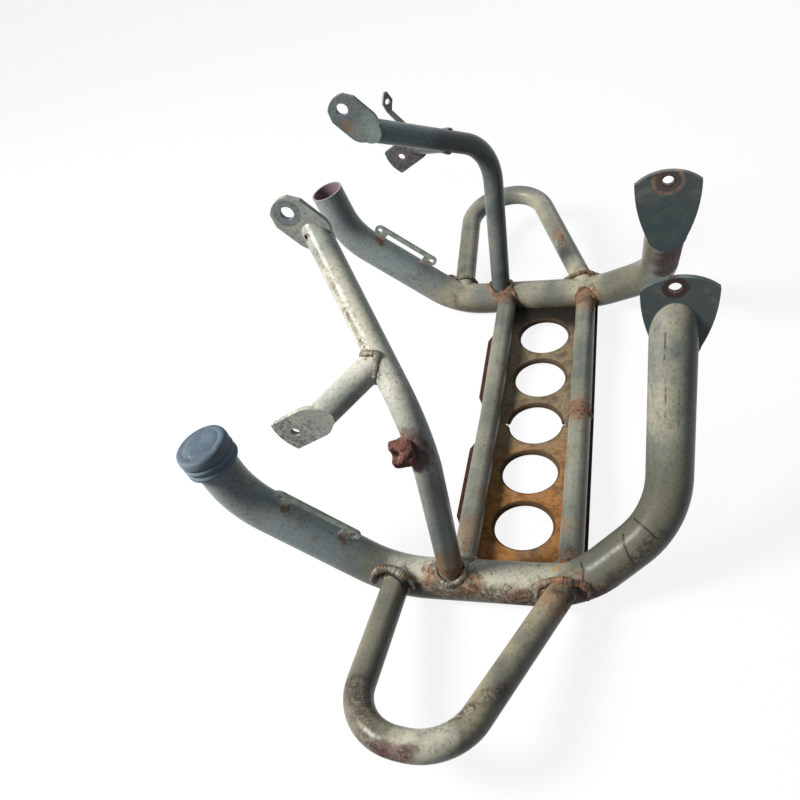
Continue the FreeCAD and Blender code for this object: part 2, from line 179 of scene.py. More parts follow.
# %% A finish is a material with a few helpers
class Finish:
    """A node material: one method makes any node, and short names wrap the common ones."""

    def __init__(self, name):
        self.material = bpy.data.materials.new(name)
        self.material.use_nodes = True
        self.tree = self.material.node_tree
        self.shader = self.tree.nodes["Principled BSDF"]
        self.place = self.node("ShaderNodeTexCoord", output="Object")

    def node(self, kind, settings=None, inputs=None, output=0):
        made = self.tree.nodes.new(kind)
        for key, value in (settings or {}).items():
            setattr(made, key, value)
        for key, value in (inputs or {}).items():
            plug(self.tree, made.inputs[key], value)
        return Socket(self.tree, made.outputs[output])

    def noise(self, scale, detail=3.0, roughness=0.55):
        inputs = {"Vector": self.place, "Scale": scale, "Detail": detail, "Roughness": roughness}
        return self.node("ShaderNodeTexNoise", {"noise_dimensions": "3D"}, inputs, "Fac")

    def fade(self, value, low, high):
        """0 up to low, 1 from high on, and smooth between; low may be above high."""
        inputs = {"Value": value, "From Min": low, "From Max": high}
        return self.node("ShaderNodeMapRange", {"interpolation_type": "SMOOTHSTEP"}, inputs)

    def mix(self, share, first, second):
        settings = {"data_type": "RGBA"}
        return self.node("ShaderNodeMix", settings, {0: share, 6: first, 7: second}, 2)

    def vector(self, operation, first, second, output=0):
        return self.node("ShaderNodeVectorMath", {"operation": operation}, {0: first, 1: second}, output)

    def spot(self, centre, reach, ragged=0.0):
        """1 round a point, fading out to 0 at the reach."""
        gap = self.vector("DISTANCE", self.place, centre, "Value") + ragged
        return self.fade(gap, reach, reach * 0.5)

    def line(self, start, end, half_width, ragged=0.0, core=0.4):
        """1 along a straight line between two points, 0 beyond half its width; core is the full share."""
        way = end - start
        offset = self.vector("SUBTRACT", self.place, start)
        along = self.vector("DOT_PRODUCT", offset, way, "Value") * (1 / way.length_squared)
        inputs = {0: way, "Scale": (along | 0) & 1}
        nearest = self.node("ShaderNodeVectorMath", {"operation": "SCALE"}, inputs)
        gap = self.vector("DISTANCE", offset, nearest, "Value") + ragged
        return self.fade(gap, half_width, half_width * core)

    def axes(self):
        return [self.node("ShaderNodeSeparateXYZ", None, {0: self.place}, axis) for axis in "XYZ"]

    def set(self, **sockets):
        for key, value in sockets.items():
            plug(self.tree, self.shader.inputs[key.replace("_", " ")], value)


def srgb(red, green, blue):
    """A colour as a picture editor shows it, made linear for the shader."""
    return tuple((v / 255) ** 2.2 for v in (red, green, blue))


print("finishes are written with", Socket.__name__, "and", Finish.__name__)

# %% [markdown]
# ## Studio floor and light
# The background is white paper. If lamps alone made it white, they would burn out the paint,
# so the floor glows for the rays that look at it, and keeps a share of its shading for the shadow.
# Light that bounces off it towards the bumper meets a dark floor instead, so that the shaded
# side of each tube stays dark.
# One large lamp stands above and to the left of the camera, so each tube is bright on its left
# and dark on its right.

# %% Floor
floor_half = 6.0
floor_glow = 0.88
paper_white = (0.92, 0.92, 0.92)
paper_bounce = (0.09, 0.10, 0.12)

floor_mesh = bpy.data.meshes.new("floor")
floor_corners = [(x * floor_half, y * floor_half, 0) for x, y in ((-1, -1), (1, -1), (1, 1), (-1, 1))]
floor_mesh.from_pydata(floor_corners, [], [(0, 1, 2, 3)])
floor = bpy.data.objects.new("floor", floor_mesh)
bpy.context.collection.objects.link(floor)


def background_rays(finish):
    """1 for the rays that look at the background: from the camera, or mirrored by gloss."""
    rays = [finish.node("ShaderNodeLightPath", output=f"Is {kind} Ray") for kind in
            ("Camera", "Glossy", "Transmission")]
    return rays[0] | rays[1] | rays[2]


paper = Finish("white_paper")
looks = background_rays(paper)
paper.set(Base_Color=paper.mix(looks, paper_bounce, paper_white), Roughness=0.9)
glow = paper.node("ShaderNodeEmission", None, {"Color": (1, 1, 1), "Strength": 1.0})
shaded = Socket(paper.tree, paper.shader.outputs[0])
seen = paper.node("ShaderNodeMixShader", None, {0: looks * floor_glow, 1: shaded, 2: glow})
paper.tree.links.new(seen.output, paper.tree.nodes["Material Output"].inputs["Surface"])
floor_mesh.materials.append(paper.material)
print("floor", 2 * floor_half, "m square")

# %% World and lamps
sky_level = 0.13
sky_tint = (0.66, 0.86, 1.0)
sky_white = (1, 1, 1)

world = bpy.data.worlds.new("studio")
bpy.context.scene.world = world
world.use_nodes = True


class Sky(Finish):
    """The world's node tree, with the same helpers as a material."""

    def __init__(self, world):
        self.tree = world.node_tree
        self.shader = self.tree.nodes["Background"]


sky = Sky(world)
looks = background_rays(sky)
sky.set(Color=sky.mix(looks, sky_tint, sky_white))
sky.set(Strength=sky_level + looks * (1 - sky_level))


def lamp(name, place, target, size, power, colour):
    light = bpy.data.lights.new(name, "AREA")
    light.shape = "DISK"
    light.size = size
    light.energy = power
    light.color = colour
    holder = bpy.data.objects.new(name, light)
    bpy.context.collection.objects.link(holder)
    holder.location = place
    holder.rotation_euler = (target - place).to_track_quat("-Z", "Y").to_euler()


middle = (cad_box[0] + cad_box[1]) / 2
lamp("key", Vector((-1.18, -0.54, 1.22)), middle, 0.60, 50, (1.0, 0.975, 0.91))
lamp("back", Vector((0.35, 1.25, 1.15)), middle, 0.7, 4, (0.95, 0.98, 1.0))

# %% [markdown]
# ## Where the bumper has worn
# Rust starts where paint is thin or was burnt off: at welds, bolt holes and scraped spots.
# Each such place is written down once, as a centre and a reach in millimetres from the drawing.
# The two sides of a real bumper never wear alike, so each tube has its own list.

# %% Places of the tubes
stay_foot = mm(-51, -185, 17)
stay_corner = mm(-41, -193, 197)
stay_shoulder = mm(-120, -78, 284)
branch_foot = stay_corner.lerp(stay_shoulder, 0.38)
branch_shoulder = mm(-111, -188, 211)
loop_foot_upper = mm(-93, -185, 27)
loop_corner_upper = mm(-98, -331, 54)
loop_foot_lower = mm(43, -185, 25.5)
loop_corner_lower = mm(-22, -340, 58)
upper_end = mm(-218.5, -181, 173)
upper_bend = mm(-207.5, -183, 116)
cross_ends = [mm(-42.5, -185, 23.9), mm(42.5, -185, 23.9)]
cross_middles = [mm(-42.5, 0, 15.5), mm(42.5, 0, 15.5)]
tube_radius = {"stay": 0.010, "branch": 0.010, "loop": 0.011, "cross": 0.010}
print("stay rises", round((stay_corner - stay_foot).z, 3), "m from the front run")

# %% Rust, stains, scrapes and cracks of each tube
rust = {
    "main_tube_left": [
        (mm(-63.5, -188, 33), 12), (mm(-36, -195, 30), 13), (mm(-93, -203, 32), 17), (mm(43, -203, 31), 26),
        (mm(22, -198, 28), 14), (mm(-42.5, -166, 27), 12), (mm(42.5, -166, 27), 12), (mm(-171, -185, 104), 7),
        (mm(-132, -187, 69), 6), (mm(4, -203, 17), 18), (mm(70, -199, 24), 13),
    ],
    "main_tube_right": [
        (mm(-51, 183, 34), 15), (mm(-42.5, 166, 27), 17), (mm(46, 166, 30), 18), (mm(43, 203, 31), 13),
        (mm(-174, 180, 108), 7),
    ],
    "stay_left": [(mm(-46, -194, 38), 15), (mm(-71, -153, 231), 8), (mm(-125, -85, 288), 4)],
    "stay_right": [(mm(-49, 187, 32), 12), (mm(-71, 153, 231), 8)],
    "branch_left": [(mm(-76, -155, 228), 8)],
    "branch_right": [(mm(-76, 155, 228), 9)],
    "side_loop_left": [(mm(-93, -203, 30), 10), (mm(38, -203, 30), 17), (mm(20, -236, 44), 6)],
    "side_loop_right": [(mm(38, 203, 30), 11), (mm(13.6, 244, 48), 7)],
    "upper_cross_tube": [(mm(-42.5, -165, 27), 10), (mm(-42.5, 165, 27), 15)],
    "lower_cross_tube_left": [(mm(42.5, -165, 27), 10), (mm(43, -3, 22), 11)],
    "lower_cross_tube_right": [(mm(42.5, 162, 27), 17), (mm(43, 3, 22), 13), (mm(47, 142, 25), 8)],
}
stains = {
    "main_tube_left": [(mm(-66, -193, 31), 12), (mm(-33, -196, 29), 13)],
    "stay_left": [(mm(-43, -195, 54), 24)],
    "stay_right": [(mm(-137, 77, 291), 7)],
    "side_loop_left": [(mm(30, -215, 36), 18)],
    "side_loop_right": [(mm(10, 254, 51), 12)],
    "upper_cross_tube": [(mm(-36, -146, 24), 22), (mm(-34, -104, 22), 14), (mm(-36, -55, 20), 12)],
    "lower_cross_tube_left": [(mm(43, -6, 22), 15), (mm(38, -135, 24), 13)],
    "lower_cross_tube_right": [(mm(43, 8, 22), 14), (mm(44, 150, 26), 18)],
    "main_tube_right": [(mm(-172, 180, 106), 10)],
}
scrapes = {
    "main_tube_right": [(mm(127, 92, 122), 27), (mm(127, 79, 141), 21), (mm(124, 108, 99), 19)],
    "stay_left": [(mm(-48, -197, 187), 18), (mm(-50, -195, 194), 16), (mm(-47, -199, 181), 12)],
    "side_loop_left": [(mm(-67, -343.5, 61.6), 9), (mm(-57.3, -345.4, 61.7), 10), (mm(-49.6, -344.6, 63.8), 8)],
}
# Dark spots at the lower side of joints: weld burn, and painted shade where the tubes meet.
burns_and_shade = {
    "main_tube_left": [
        (mm(57, -197, 22), 11), (mm(54, -196.5, 29), 8), (mm(-83, -203, 22), 9), (mm(-78, -201, 24), 7),
    ],
    "side_loop_left": [(mm(-84, -205, 35), 7), (mm(50, -207, 30), 9)],
    "upper_cross_tube": [(mm(-36, 166, 22), 12)],
    "main_tube_right": [(mm(-40, 168, 20), 13)],
}
# Painted shadow: dark lines along the crevice under each collar bead.
crevice_shadows = {
    "main_tube_left": [
        [mm(-112.2, -201.7, 29), mm(-108.7, -200.1, 36.1), mm(-103.5, -197.6, 38.7)],
        [mm(53.1, -196.1, 30.4), mm(55.6, -197.4, 25.1), mm(50.7, -198.4, 17.9)],
    ],
    "side_loop_left": [
        [mm(-103.5, -197.6, 38.7), mm(-96.1, -198.4, 39.9), mm(-90.4, -202, 40.4), mm(-86.2, -205.8, 38.6),
         mm(-84.2, -213, 36)],
    ],
}
peppered = {
    "main_tube_left": [(mm(-70, -201, 21), mm(70, -201, 21), 15), (mm(64, -192, 28), mm(108, -168, 66), 9)],
    "side_loop_left": [(mm(-97, -300, 55), mm(-70, -345, 60), 14), (mm(-50, -345, 62), mm(8, -290, 58), 9)],
    "stay_left": [(mm(-71, -165, 232), mm(-116, -98, 284), 7)],
}
cracks = {
    "main_tube_left": [
        [mm(90.7, -156.7, 70.3), mm(95.6, -163.1, 71.9), mm(100.4, -167.3, 70.7), mm(106.6, -170.6, 65.8)],
        [mm(82.8, -165.7, 62.1), mm(83.9, -173.5, 59.4), mm(87, -179.5, 54.2), mm(91.9, -181.7, 47.5)],
        [mm(51.8, -178.3, 41.1), mm(54.3, -185.7, 40.5), mm(53.6, -191.3, 36.7)],
    ],
}
scratches = {
    "main_tube_left": [
        [mm(112.9, -83, 186.4), mm(112.5, -92, 174), mm(111.8, -94.7, 169.8), mm(111.2, -100.8, 161.1)],
        [mm(113, -102.6, 159.9), mm(112.7, -118.2, 138.5)],
        [mm(122.1, -107.4, 153.6), mm(121.4, -122.5, 132.7)],
        [mm(103.2, -99.1, 151.7), mm(104.8, -106.5, 145.9)],
        [mm(-22, -177, 32), mm(-16.4, -188.8, 33.5)],
        [mm(-32.8, -198.6, 27.1), mm(-30.4, -193.2, 31.8), mm(-28.3, -188.7, 33.5)],
        [mm(-9.9, -200.5, 24), mm(-5, -194.6, 31), mm(-0.3, -197.3, 28.7)],
    ],
    "stay_left": [[mm(-44, -202, 196), mm(-49, -196, 214)], [mm(-66, -168, 228), mm(-73, -158, 236)]],
    "side_loop_left": [[mm(-5, -318, 62), mm(8, -290, 58)]],
}
print("rust places:", sum(len(places) for places in rust.values()), "cracks:", sum(map(len, cracks.values())))

# %% [markdown]
# ## Worn silver paint
# The tubes carry a dull silver paint that has weathered for years. Close up it is never one
# colour: warm and cool grey drift into each other, an olive film clings in patches, fine dark
# pits dot the surface, and the side near the floor is darker, with brown grime and painted shade.
# Warm silver patches are painted highlights, and a few darker patches are painted shade.
# Everything is laid on by place, so a patch stays where it is, seen from any side.
# Rust is rough and dead matt; sound paint keeps a little sheen.

# %% Colours of the bumper
silver = srgb(196, 195, 183)
silver_shade = srgb(140, 145, 140)
worn_silver = srgb(164, 160, 141)
worn_shade = srgb(108, 113, 110)
dull_grey = srgb(138, 139, 127)
dull_shade = srgb(98, 104, 99)
gunmetal = srgb(150, 144, 123)
gunmetal_shade = srgb(99, 99, 90)
blue_film = srgb(136, 148, 151)
olive_film = srgb(110, 104, 86)
olive_grey = srgb(98, 98, 85)
# painted highlight: a warm silver laid on where the tubes should catch the lamp
highlight_silver = srgb(196, 193, 176)
# navy_shade: the darker tone of the right stay, and painted shade on the left stay's upright
navy_shade = srgb(84, 92, 93)
stay_grey = srgb(116, 122, 117)
stay_teal = srgb(148, 166, 168)
foot_brown = srgb(72, 60, 48)
soot = srgb(64, 66, 62)
# painted shade: dark teal for the flat faces of the lower lugs
lug_shade_teal = srgb(60, 74, 78)
# grime_and_shade: brown grime and painted shade on the side near the floor
grime_and_shade = srgb(88, 72, 56)
pit_brown = srgb(48, 38, 32)
rust_orange = srgb(134, 92, 60)
rust_brown = srgb(96, 68, 52)
rust_dark = srgb(60, 42, 37)
rust_purple = srgb(94, 68, 66)
# near black for weld burn, painted shade at joints and painted shadow lines under the collars
burn_and_shade_black = srgb(36, 28, 25)
temper_gold = srgb(208, 146, 74)
bare_steel = srgb(186, 184, 176)
scuff_blue = srgb(104, 116, 126)
coats = {
    "stay_left": (silver, silver_shade), "branch_left": (silver, silver_shade),
    "stay_right": (stay_grey, navy_shade), "branch_right": (dull_shade, soot),
    "main_tube_left": (worn_silver, worn_shade), "main_tube_right": (worn_silver, worn_shade),
    "side_loop_left": (gunmetal, gunmetal_shade), "side_loop_right": (worn_silver, worn_shade),
}
# Patches of other colour, each a centre, a reach in millimetres and a colour: weathered blue and olive film, warm
# silver painted highlights, and darker patches of painted shade.
tints_and_painted_light = {
    "main_tube_left": [
        (upper_bend, 115, blue_film), (mm(-150, -185, 85), 60, blue_film), (mm(98, -168, 64), 85, olive_grey),
        # painted highlights on the front run
        (mm(-80, -180, 36), 30, highlight_silver), (mm(0, -183, 34), 50, highlight_silver),
    ],
    "main_tube_right": [
        (mirrored(upper_bend), 115, blue_film), (mm(-150, 185, 85), 70, blue_film),
        (mm(104, 158, 70), 80, olive_grey), (mm(114, 112, 150), 75, olive_grey),
    ],
    "stay_left": [
        # left stay: painted shade on the upright, brown rust at the foot, a painted highlight on the top run
        (mm(-44, -195, 112), 85, navy_shade), (mm(-44, -194, 50), 32, foot_brown), (mm(-95, -128, 262), 50, highlight_silver),
    ],
    "stay_right": [(mm(-105, 115, 275), 55, stay_teal)],
    "side_loop_left": [
        # left loop: painted shade on the left strand, painted highlights on the bottom and by the upper foot
        (mm(-97, -265, 46), 85, gunmetal_shade), (mm(-40, -337, 66), 30, highlight_silver),
        (mm(-93, -186, 37), 17, highlight_silver),
    ],
}
print("silver is", tuple(round(v, 3) for v in silver))


# %% The paint
patch_share = 0.75
grime_shade_top, grime_shade_full = 0.032, 0.012
crevice_shadow_half_width = 0.0026
crack_half_width = 0.0011
scratch_half_width = 0.0009
ring_edge = 0.001
crisp_angle = math.radians(35)


def rusty(finish):
    """The colour of rust: brown, with orange bloom and dark scale."""
    colour = finish.mix(finish.fade(finish.noise(230, 4, 0.65), 0.40, 0.62), rust_brown, rust_orange)
    return finish.mix(finish.fade(finish.noise(95, 3), 0.52, 0.66), colour, rust_dark)


def painted(name, film=0.40):
    """Worn silver paint with the rust, stains and cracks that the lists give this tube."""
    paint = Finish(name + "_paint")
    height_z = paint.axes()[2]
    drift = paint.noise(16, 3)
    mottle = paint.noise(68, 4, 0.62)
    fine = paint.noise(380, 3, 0.6)
    ragged = (paint.noise(120, 5, 0.75) - 0.5) * 0.030
    flecks = paint.fade(paint.noise(300, 4, 0.7), 0.40, 0.58)

    light, shade = coats.get(name, (dull_grey, dull_shade))
    colour = paint.mix(paint.fade(drift * 0.7 + mottle * 0.3, 0.38, 0.62), shade, light)
    # lay on the patches: weathered film, painted highlights and painted shade
    for centre, reach, patch_colour in tints_and_painted_light.get(name, ()):
        colour = paint.mix(paint.spot(centre, reach / 1000, ragged) * patch_share, colour, patch_colour)
    colour = paint.mix(paint.fade(mottle, 0.48, 0.70) * film, colour, olive_film)
    colour = paint.mix(paint.fade(fine, 0.48, 0.70) * 0.38, colour, soot)
    # darker towards the floor: brown grime, and painted shade on the underside
    low_grime_and_shade = paint.fade(height_z, grime_shade_top, grime_shade_full) * paint.fade(mottle, 0.30, 0.54)
    colour = paint.mix(low_grime_and_shade * 0.8, colour, grime_and_shade)
    for centre, reach in stains.get(name, ()):
        colour = paint.mix(paint.spot(centre, reach / 1000, ragged) * (flecks * 0.3 + 0.3), colour, rust_orange)

    spread = paint.fade(drift * 0.35 + mottle * 0.65, 0.62, 0.72) * flecks * 0.5
    for centre, reach in rust.get(name, ()):
        spread = spread | paint.spot(centre, reach / 1000, ragged) * (flecks * 0.5 + 0.35)
    colour = paint.mix(spread, colour, rusty(paint))
    for centre, reach in scrapes.get(name, ()):
        scrape = paint.spot(centre, reach / 1000, ragged * 0.6) * (0.85 - flecks * 0.25)
        colour = paint.mix(scrape, colour, rust_purple)
        spread = spread | scrape
    # weld burn and painted shade at the joints
    for centre, reach in burns_and_shade.get(name, ()):
        colour = paint.mix(paint.spot(centre, reach / 1000, ragged * 0.4) * 0.9, colour, burn_and_shade_black)
    # painted shadow along the crevices under the collar beads
    for points in crevice_shadows.get(name, ()):
        for start, end in zip(points, points[1:]):
            gap = paint.line(start, end, crevice_shadow_half_width, (mottle - 0.5) * 0.004)
            colour = paint.mix(gap * 0.92, colour, burn_and_shade_black)
    grains = paint.fade(paint.noise(240, 5, 0.8), 0.42, 0.54)
    for start, end, reach in peppered.get(name, ()):
        colour = paint.mix(paint.line(start, end, reach / 1000, ragged) * grains * 0.8, colour, rust_dark)

    pits = paint.fade(paint.noise(330, 3, 0.5), 0.68, 0.73) * paint.fade(mottle, 0.40, 0.56)
    for points in cracks.get(name, ()):
        for start, end in zip(points, points[1:]):
            pits = pits | paint.line(start, end, crack_half_width, (fine - 0.5) * 0.0014, 0.5)
    broken = paint.fade(paint.noise(170, 2), 0.42, 0.56)
    for points in scratches.get(name, ()):
        for start, end in zip(points, points[1:]):
            scratch = paint.line(start, end, scratch_half_width, (fine - 0.5) * 0.0016)
            pits = pits | scratch * broken * 0.8
    colour = paint.mix(pits * 0.85, colour, pit_brown)

    bumps = fine * 0.25 + mottle * 0.3 - pits * 0.7 + spread * paint.noise(520, 3) * 1.3
    bump = paint.node("ShaderNodeBump", None, {"Strength": 0.4, "Distance": 0.0007, "Height": bumps})
    paint.set(Roughness=0.33 + spread * 0.5 + (fine - 0.5) * 0.3, Normal=bump, Specular_IOR_Level=0.22)
    return paint, colour


def ring(finish, centre, inner, outer):
    """1 on a ring round a bolt hole, such as a washer leaves, with radii in millimetres."""
    gap = finish.vector("DISTANCE", finish.place, centre, "Value")
    gap = gap + (finish.noise(330, 4, 0.7) - 0.5) * 0.003
    inside = finish.fade(gap, outer / 1000, outer / 1000 - ring_edge)
    return inside * finish.fade(gap, inner / 1000 - ring_edge, inner / 1000)


def dress(name, finish, colour):
    finish.set(Base_Color=colour)
    node = nodes[name]
    node.data.materials.clear()
    node.data.materials.append(finish.material)
    node.data.shade_smooth()
    crisp = node.modifiers.new("crisp_edges", "EDGE_SPLIT")
    crisp.split_angle = crisp_angle


for name in ("side_loop_left", "side_loop_right", "upper_cross_tube", "lower_cross_tube_left",
             "lower_cross_tube_right"):
    paint, colour = painted(name)
    dress(name, paint, colour)
print("plain tubes painted")

# %% [markdown]
# ## Crushed ends
# Where a tube was pressed flat for a bolt, the bolt and its washer have left their mark.
# The lower lugs' flat faces are painted dark teal as painted shade. Rust has bled out of the holes there,
# and the right one keeps the pale print of a washer.
# The stays and branches have scuffed, bluish rings, and the right branch is almost black.
# The open right end of the main tube shows its bore, which was never painted; its purple-grey is lightened as painted
# light in the shaded bore.

# %% Main tubes, stays and branches
lug_face, lug_face_full = 0.0722, 0.0716
lug_foot, lug_foot_full = 0.130, 0.146
bore_reach = 0.0160
bore_end = mirrored(upper_end)
bore_depth = bore_end.lerp(mirrored(upper_bend), 0.35)
temper_marks = [(mm(29.9, -183.6, 34.6), mm(34.1, -178.7, 34.5)), (mm(36, -177, 34), mm(39, -173, 33))]

for side in ("left", "right"):
    name = "main_tube_" + side
    paint, colour = painted(name)
    width = paint.node("ShaderNodeMath", {"operation": "ABSOLUTE"}, {0: paint.axes()[1]})
    # painted shade: the flat faces of the lower lugs are painted dark teal
    flat = paint.fade(width, lug_face, lug_face_full) * paint.fade(paint.axes()[2], lug_foot, lug_foot_full)
    patchy = paint.fade(paint.noise(60, 4, 0.6), 0.30, 0.55) * 0.25 + 0.65
    colour = paint.mix(flat * patchy, colour, lug_shade_teal)
    hole = holes["lower_lug_hole_" + side]
    if side == "left":
        colour = paint.mix(ring(paint, hole, 3, 9.5), colour, rust_dark)
        temper = paint.line(*temper_marks[0], 0.0013, (paint.noise(300) - 0.5) * 0.002)
        temper = temper | paint.line(*temper_marks[1], 0.0012)
        colour = paint.mix(temper, colour, temper_gold)
    else:
        worn = paint.fade(paint.noise(140, 4, 0.7), 0.36, 0.60)
        colour = paint.mix(ring(paint, hole, 3, 13) * 0.7, colour, srgb(84, 68, 66))
        colour = paint.mix(ring(paint, hole, 10.5, 13.5) * worn * 0.8, colour, srgb(150, 122, 104))
        colour = paint.mix(ring(paint, hole, 3, 6.5), colour, rust_dark)
        # painted light: the bore's inside is given a light purple-grey although it lies in shade
        bore = paint.line(bore_end, bore_depth, bore_reach, 0.0, 0.97)
        colour = paint.mix(bore, colour, srgb(134, 116, 122))
    dress(name, paint, colour)

    name = "stay_" + side
    paint, colour = painted(name, 0.25)
    hole = holes["stay_hole_" + side]
    scuffs = paint.fade(paint.noise(330, 3, 0.7), 0.44, 0.58)
    colour = paint.mix(ring(paint, hole, 4, 11) * 0.7, colour, paint.mix(scuffs, srgb(84, 90, 92), scuff_blue))
    dress(name, paint, colour)

    name = "branch_" + side
    paint, colour = painted(name, 0.30)
    hole = holes["branch_hole_" + side]
    scuffs = paint.fade(paint.noise(330, 3, 0.7), 0.44, 0.58)
    if side == "left":
        smudge = paint.spot(hole, 0.024, (paint.noise(90, 4, 0.7) - 0.5) * 0.030)
        colour = paint.mix(smudge * scuffs * 0.75, colour, srgb(74, 84, 88))
        colour = paint.mix(ring(paint, hole, 3, 8) * 0.5, colour, paint.mix(scuffs, srgb(74, 80, 82), bare_steel))
    else:
        smoky = paint.mix(scuffs, srgb(70, 70, 76), srgb(96, 96, 102))
        colour = paint.mix(paint.spot(hole, 0.030) * 0.8, colour, smoky)
        colour = paint.mix(ring(paint, hole, 3, 8) * 0.6, colour, srgb(104, 84, 84))
    dress(name, paint, colour)
print("crushed ends painted; bolt holes with marks:", len(holes))

# %% [markdown]
# ## The folded plate
# The plate lies lowest, so water stands on it. Its near half has rusted through the paint to
# a warm orange-brown; the far half keeps a thin grey, and its far end under the front run is
# painted near black as painted shadow. The pressed lips of the holes carry a dark ring of painted
# shade, and the edges that stick out past the cross tubes are almost black-brown.
# A folded sheet like this is pressed from flat steel, the lips drawn in the same stroke.

# %% Plate
plate_hole_radius = 0.025
plate_hole_pitch = 0.062
plate_edge, plate_edge_full = 0.0500, 0.0515
lip_reach, lip_full = 0.0032, 0.0016

plate = Finish("plate_paint")
x, y, z = plate.axes()
clouds = plate.noise(24, 4, 0.6)
blotches = plate.noise(90, 4, 0.65)
grit = plate.noise(420, 3, 0.6)
colour = plate.mix(plate.fade(blotches, 0.36, 0.62), srgb(92, 86, 74), srgb(134, 124, 104))
near = plate.fade(y + (clouds - 0.5) * 0.16, 0.05, -0.12)
bright = plate.fade(blotches + (grit - 0.5) * 0.5, 0.38, 0.62)
bloom = plate.mix(bright, srgb(134, 90, 52), srgb(168, 122, 78))
rusted = (near * 0.9 + 0.12) * plate.fade(clouds * 0.6 + blotches * 0.4, 0.30, 0.52)
colour = plate.mix(rusted, colour, bloom)
scale = plate.fade(blotches * 0.5 + grit * 0.5, 0.54, 0.64)
colour = plate.mix(scale * 0.6, colour, srgb(84, 60, 44))
from_line = plate.node("ShaderNodeMath", {"operation": "ABSOLUTE"}, {0: x - plate_line})
edge = plate.fade(from_line + (blotches - 0.5) * 0.004, plate_edge, plate_edge_full)
colour = plate.mix(edge, colour, plate.mix(plate.fade(grit, 0.4, 0.6), srgb(58, 40, 34), srgb(84, 56, 46)))
# painted shadow: the plate's far end under the far front run is painted near black
far_end_shadow = plate.fade(y + (clouds - 0.5) * 0.03, 0.122, 0.150)
colour = plate.mix(far_end_shadow * 0.95, colour, srgb(24, 25, 25))
# painted shade: a dark ring on the sloping lip round each hole
lips = 0
for step in range(-2, 3):
    centre = plate.node("ShaderNodeCombineXYZ", None, {0: x - plate_line, 1: y - step * plate_hole_pitch})
    gap = plate.node("ShaderNodeVectorMath", {"operation": "LENGTH"}, {0: centre}, "Value")
    lips = plate.fade(gap, plate_hole_radius + lip_reach, plate_hole_radius + lip_full) | lips
colour = plate.mix(lips * 0.85, colour, srgb(66, 52, 42))
bumps = blotches * 0.5 + grit * 0.5 + rusted * plate.noise(560, 3)
bump = plate.node("ShaderNodeBump", None, {"Strength": 0.45, "Distance": 0.0006, "Height": bumps})
plate.set(Roughness=0.66 + rusted * 0.22, Normal=bump, Specular_IOR_Level=0.12)
dress("front_plate", plate, colour)
print("plate holes with dark lips: 5, hole radius", plate_hole_radius)

# %% [markdown]
# ## Brackets and strap
# The strip brackets and the strap are thin sheet, cut and bent, and carry a cleaner grey-green
# paint than the tubes. Only their feet, where they are welded on, show rust.

# %% Brackets
bracket_feet = [mm(-169, -185, 106), mm(-131, -185, 71), mm(-174, 185, 108), mm(-130, 185, 70)]
strap_root = mm(-95, 110, 262)
foot_reach = 0.008

bracket = Finish("bracket_paint")
mottle = bracket.noise(110, 4, 0.6)
fine = bracket.noise(460, 3, 0.6)
colour = bracket.mix(bracket.fade(mottle, 0.34, 0.66), srgb(112, 120, 114), srgb(150, 156, 146))
colour = bracket.mix(bracket.fade(fine, 0.54, 0.72) * 0.4, colour, soot)
spread = bracket.fade(mottle * 0.6 + fine * 0.4, 0.58, 0.66) * 0.6
ragged = (fine - 0.5) * 0.008
for foot in bracket_feet + [strap_root]:
    spread = spread | bracket.spot(foot, foot_reach, ragged) * 0.6
colour = bracket.mix(spread, colour, rusty(bracket))
bump = bracket.node("ShaderNodeBump", None, {"Strength": 0.3, "Distance": 0.0005, "Height": fine + spread})
bracket.set(Roughness=0.5 + spread * 0.3, Metallic=(1 - spread) * 0.15, Normal=bump, Specular_IOR_Level=0.35)
for name in ("strip_bracket_left", "strip_bracket_right", "strap_right"):
    dress(name, bracket, colour)
print("brackets with rusty feet:", len(bracket_feet))

# %% [markdown]
# ## Weld beads
# A hand-made weld is a string of overlapping puddles, so its bead swells and narrows every
# millimetre or two. Its path is where one tube meets the other. To find it, a ring of lines
# along the tube is shot at the mesh of the tube that carries it: each hit is a point of the seam.
# A small lumpy circle is then swept along the seam, as a bead of clay would be.
# At the loops the welder went round a second time, so each foot has a thick collar as well,
# laid through a few measured stops.

# %% Find a seam
shot_height = 0.06


def carrier(name):
    """The CAD mesh of one node, ready for lines to be shot at it."""
    mesh = nodes[name].data
    return BVHTree.FromPolygons([v.co for v in mesh.vertices], [p.vertices[:] for p in mesh.polygons])


def seam_points(tree, foot, way, radius, steps):
    """Where a round tube of this radius, that leaves foot along way, meets the carrier."""
    way = way.normalized()
    side = way.orthogonal().normalized()
    other = way.cross(side)
    points = []
    for step in range(steps):
        angle = 2 * math.pi * step / steps
        outward = side * math.cos(angle) + other * math.sin(angle)
        rim = foot + outward * radius
        place, normal, _, _ = tree.ray_cast(rim + way * shot_height, -way, 2 * shot_height)
        if place is None:
            place, normal, _, _ = tree.find_nearest(rim)
        points.append((place, (normal + outward).normalized()))
    return points


main_tree = carrier("main_tube_left")
stay_tree = carrier("stay_left")
run_top = main_tree.ray_cast(mm(0, -185, 100), Vector((0, 0, -1)))[0]
print("the front run's top is", round(run_top.z, 4), "m up")

# %% Sweep a bead
bead_around = 10
ripple = 0.05
ripple_length = 0.0023


